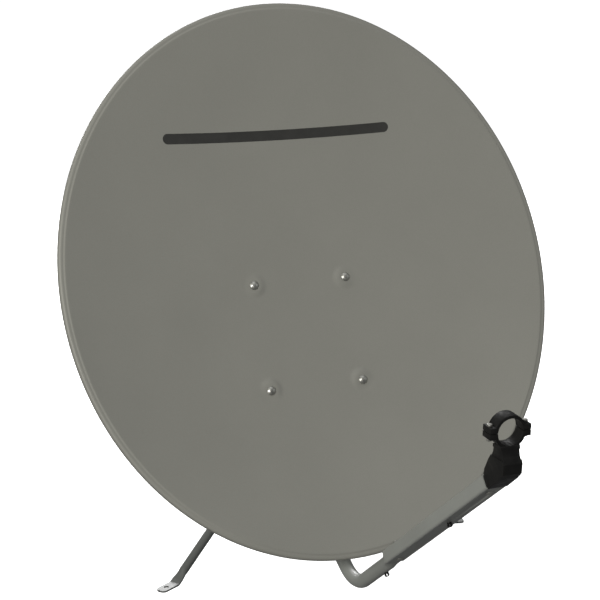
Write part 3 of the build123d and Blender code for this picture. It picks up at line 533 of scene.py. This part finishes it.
edge_widths = {
    "base_flange": 0.0006,
    "mast": 0.0004,
    "mast_cap": 0.0006,
    "left_stay_collar": 0.0006,
    "right_stay_collar": 0.0006,
    "left_stay": 0.0005,
    "right_stay": 0.0005,
    "azimuth_bracket": 0.0006,
    "lower_saddle": 0.0012,
    "upper_saddle": 0.0012,
    "lower_mast_clamp": 0.0008,
    "upper_mast_clamp": 0.0008,
    "back_bracket": 0.0006,
    "arm_lower_tube": 0.0,
    "arm_yoke": 0.0006,
    "arm_box_tube": 0.0,
    "cable_clip": 0.0003,
    "lower_cable_clip": 0.0003,
    "lnb_holder_base": 0.0009,
    "lnb_clamp_cap": 0.0009,
    "reflector_bolts": 0.0004,
    "reflector_nuts": 0.0005,
    "base_set_screws": 0.0004,
    "collar_bolts": 0.0005,
    "collar_nuts": 0.0005,
    "stay_bolts": 0.0005,
    "stay_nuts": 0.0005,
    "clamp_bolts": 0.0006,
    "clamp_nuts": 0.0006,
    "elevation_pivot_bolt": 0.0006,
    "elevation_pivot_nut": 0.0006,
    "elevation_lock_bolts": 0.0005,
    "elevation_lock_nuts": 0.0005,
    "yoke_bolts": 0.0005,
    "yoke_nuts": 0.0005,
    "arm_joint_bolt": 0.0005,
    "arm_joint_nut": 0.0005,
    "lnb_clamp_screws": 0.0004,
    "lnb_clamp_nuts": 0.0004,
    "holder_bolt": 0.0004,
    "holder_nut": 0.0004,
}
for node, width in edge_widths.items():
    softened(node, width)

# cable clips, made smaller towards their seats on the arm's underside

arm_dir = (ARM_TIP - ARM_JOINT).normalized()
arm_down = Vector((0, -arm_dir.z, arm_dir.y))
clip_seats = {
    "cable_clip": ARM_JOINT + arm_dir * BOX_CLIP_ALONG + arm_down * BOX_UNDER,
    "lower_cable_clip": ARM_JOINT + arm_dir * TUBE_CLIP_ALONG + arm_down * TUBE_UNDER,
}
for node, seat in clip_seats.items():
    clip_mesh = bpy.data.objects[node + "_rounded"].data
    to_seat = Matrix.Translation(seat)
    clip_mesh.transform(to_seat @ Matrix.Scale(CLIP_SCALE, 4) @ to_seat.inverted())

# ---------------------------------------------------------------- weld beads

RIPPLE = 0.0022
RIPPLE_DEPTH = 0.11
BEAD_SIDES = 10
SOCKET_BEAD_R = 0.0028
SOCKET_BEAD_STEPS = 320
SOCKET_BEAD_OUT = 0.0004
CHEEK_BEAD_R = 0.0020
CHEEK_BEAD_STEPS = 350
CHEEK_BEAD_OUT = 0.0002


def weld_bead(name, path, radius, body):
    """A rippled bead along a path of (point, first direction across, second direction across)."""
    rings = []
    travelled = 0.0
    last = path[0][0]
    for point, first, second in path:
        travelled += (point - last).length
        last = point
        swell = radius * (1 + RIPPLE_DEPTH * math.cos(2 * math.pi * travelled / RIPPLE))
        turns = [2 * math.pi * i / BEAD_SIDES for i in range(BEAD_SIDES)]
        rings.append([point + (first * math.cos(turn) + second * math.sin(turn)) * swell for turn in turns])
    mesh = closed_rings(name, rings, path[0][0], path[-1][0])
    return add_piece(name, mesh, bracket_paint, body)


socket_path = []
for i in range(SOCKET_BEAD_STEPS + 1):
    turn = 2 * math.pi * i / SOCKET_BEAD_STEPS
    outward = Vector((math.cos(turn), math.sin(turn), 0))
    centre = outward * (SOCKET_R + SOCKET_BEAD_OUT) + Vector((0, 0, FLANGE_T + SOCKET_BEAD_OUT))
    socket_path.append((centre, outward, Vector((0, 0, 1))))
weld_bead("socket_weld", socket_path, SOCKET_BEAD_R, "stand")

for side, label in ((-1, "left"), (1, "right")):
    cheek_path = []
    for i in range(CHEEK_BEAD_STEPS + 1):
        u = side * (CHEEK_OUTER + CHEEK_BEAD_OUT)
        v = BOLT_CENTRE_V + (i / CHEEK_BEAD_STEPS - 0.5) * CHEEK_WELD
        cheek_path.append((on_rim(u, v, -PLATE_BACK - CHEEK_BEAD_OUT), RIGHT, RIM_FRONT))
    weld_bead(label + "_cheek_weld", cheek_path, CHEEK_BEAD_R, "dish")

# ---------------------------------------------------------------- floor, light and camera

FLOOR_HALF = 30.0
FLOOR_GLOW = 0.95
AMBIENT = 0.14
floor_mesh = bpy.data.meshes.new("floor")
floor_corners = [(x * FLOOR_HALF, y * FLOOR_HALF, 0) for x, y in ((-1, -1), (1, -1), (1, 1), (-1, 1))]
floor_mesh.from_pydata(floor_corners, [], [(0, 1, 2, 3)])
floor = bpy.data.objects.new("floor", floor_mesh)
bpy.context.scene.collection.objects.link(floor)
floor_material, floor_tree, floor_shader, floor_place = new_material("pale_floor")
floor_shades = [(0.3, (0.86, 0.86, 0.86)), (0.7, (0.88, 0.88, 0.88))]
floor_tree.links.new(
    ramp(floor_tree, noise(floor_tree, floor_place, 1.5), floor_shades),
    floor_shader.inputs["Base Color"],
)
floor_shader.inputs["Roughness"].default_value = 0.9
floor_shader.inputs["Emission Color"].default_value = (1.0, 1.0, 1.0, 1)
floor_shader.inputs["Emission Strength"].default_value = FLOOR_GLOW
floor_mesh.materials.append(floor_material)
floor.visible_diffuse = False
floor.visible_glossy = False

world = bpy.data.worlds.new("studio")
bpy.context.scene.world = world
world.use_nodes = True
world_tree = world.node_tree
backdrop = world_tree.nodes["Background"]
backdrop.inputs["Color"].default_value = (1.0, 1.0, 1.0, 1)
backdrop.inputs["Strength"].default_value = 1.0
ambient = world_tree.nodes.new("ShaderNodeBackground")
ambient.inputs["Color"].default_value = (1.0, 1.0, 1.0, 1)
ambient.inputs["Strength"].default_value = AMBIENT
ray_kind = world_tree.nodes.new("ShaderNodeLightPath")
either = world_tree.nodes.new("ShaderNodeMixShader")
world_tree.links.new(ray_kind.outputs["Is Camera Ray"], either.inputs["Fac"])
world_tree.links.new(ambient.outputs["Background"], either.inputs[1])
world_tree.links.new(backdrop.outputs["Background"], either.inputs[2])
world_tree.links.new(either.outputs["Shader"], world_tree.nodes["World Output"].inputs["Surface"])


def area_light(name, place, target, size, power, colour):
    """A soft square light that looks at a point."""
    data = bpy.data.lights.new(name, "AREA")
    data.energy = power
    data.color = colour
    data.size = size
    lamp = bpy.data.objects.new(name, data)
    lamp.location = place
    lamp.rotation_mode = "QUATERNION"
    lamp.rotation_quaternion = (Vector(place) - Vector(target)).to_track_quat("Z", "Y")
    bpy.context.scene.collection.objects.link(lamp)


area_light("key_light", (-2.75, -2.45, 1.6), RIM_CENTRE, 1.7, 118.0, (1.0, 0.98, 0.93))
area_light("top_light", (0.3, -0.6, 3.4), (0.0, -0.2, 0.3), 3.0, 25.0, (1.0, 1.0, 1.0))
area_light("side_light", (3.0, -1.4, 1.5), RIM_CENTRE, 2.0, 8.0, (0.96, 1.0, 1.0))
area_light("back_light", (0.6, 3.2, 1.8), RIM_CENTRE, 2.4, 150.0, (1.0, 1.0, 1.0))

CAMERA_OFFSET = Vector((-1.1088, -2.5799, 0.6396))
camera_data = bpy.data.cameras.new("camera")
camera_data.lens = 99.93
camera_data.sensor_width = 36.0
camera_data.shift_x = -0.0259
camera_data.shift_y = -0.0433
camera = bpy.data.objects.new("camera", camera_data)
camera.location = RIM_CENTRE + CAMERA_OFFSET
camera.rotation_mode = "QUATERNION"
camera.rotation_quaternion = CAMERA_OFFSET.to_track_quat("Z", "Y")
bpy.context.scene.collection.objects.link(camera)
bpy.context.scene.camera = camera
bpy.context.scene.view_settings.view_transform = "Standard"
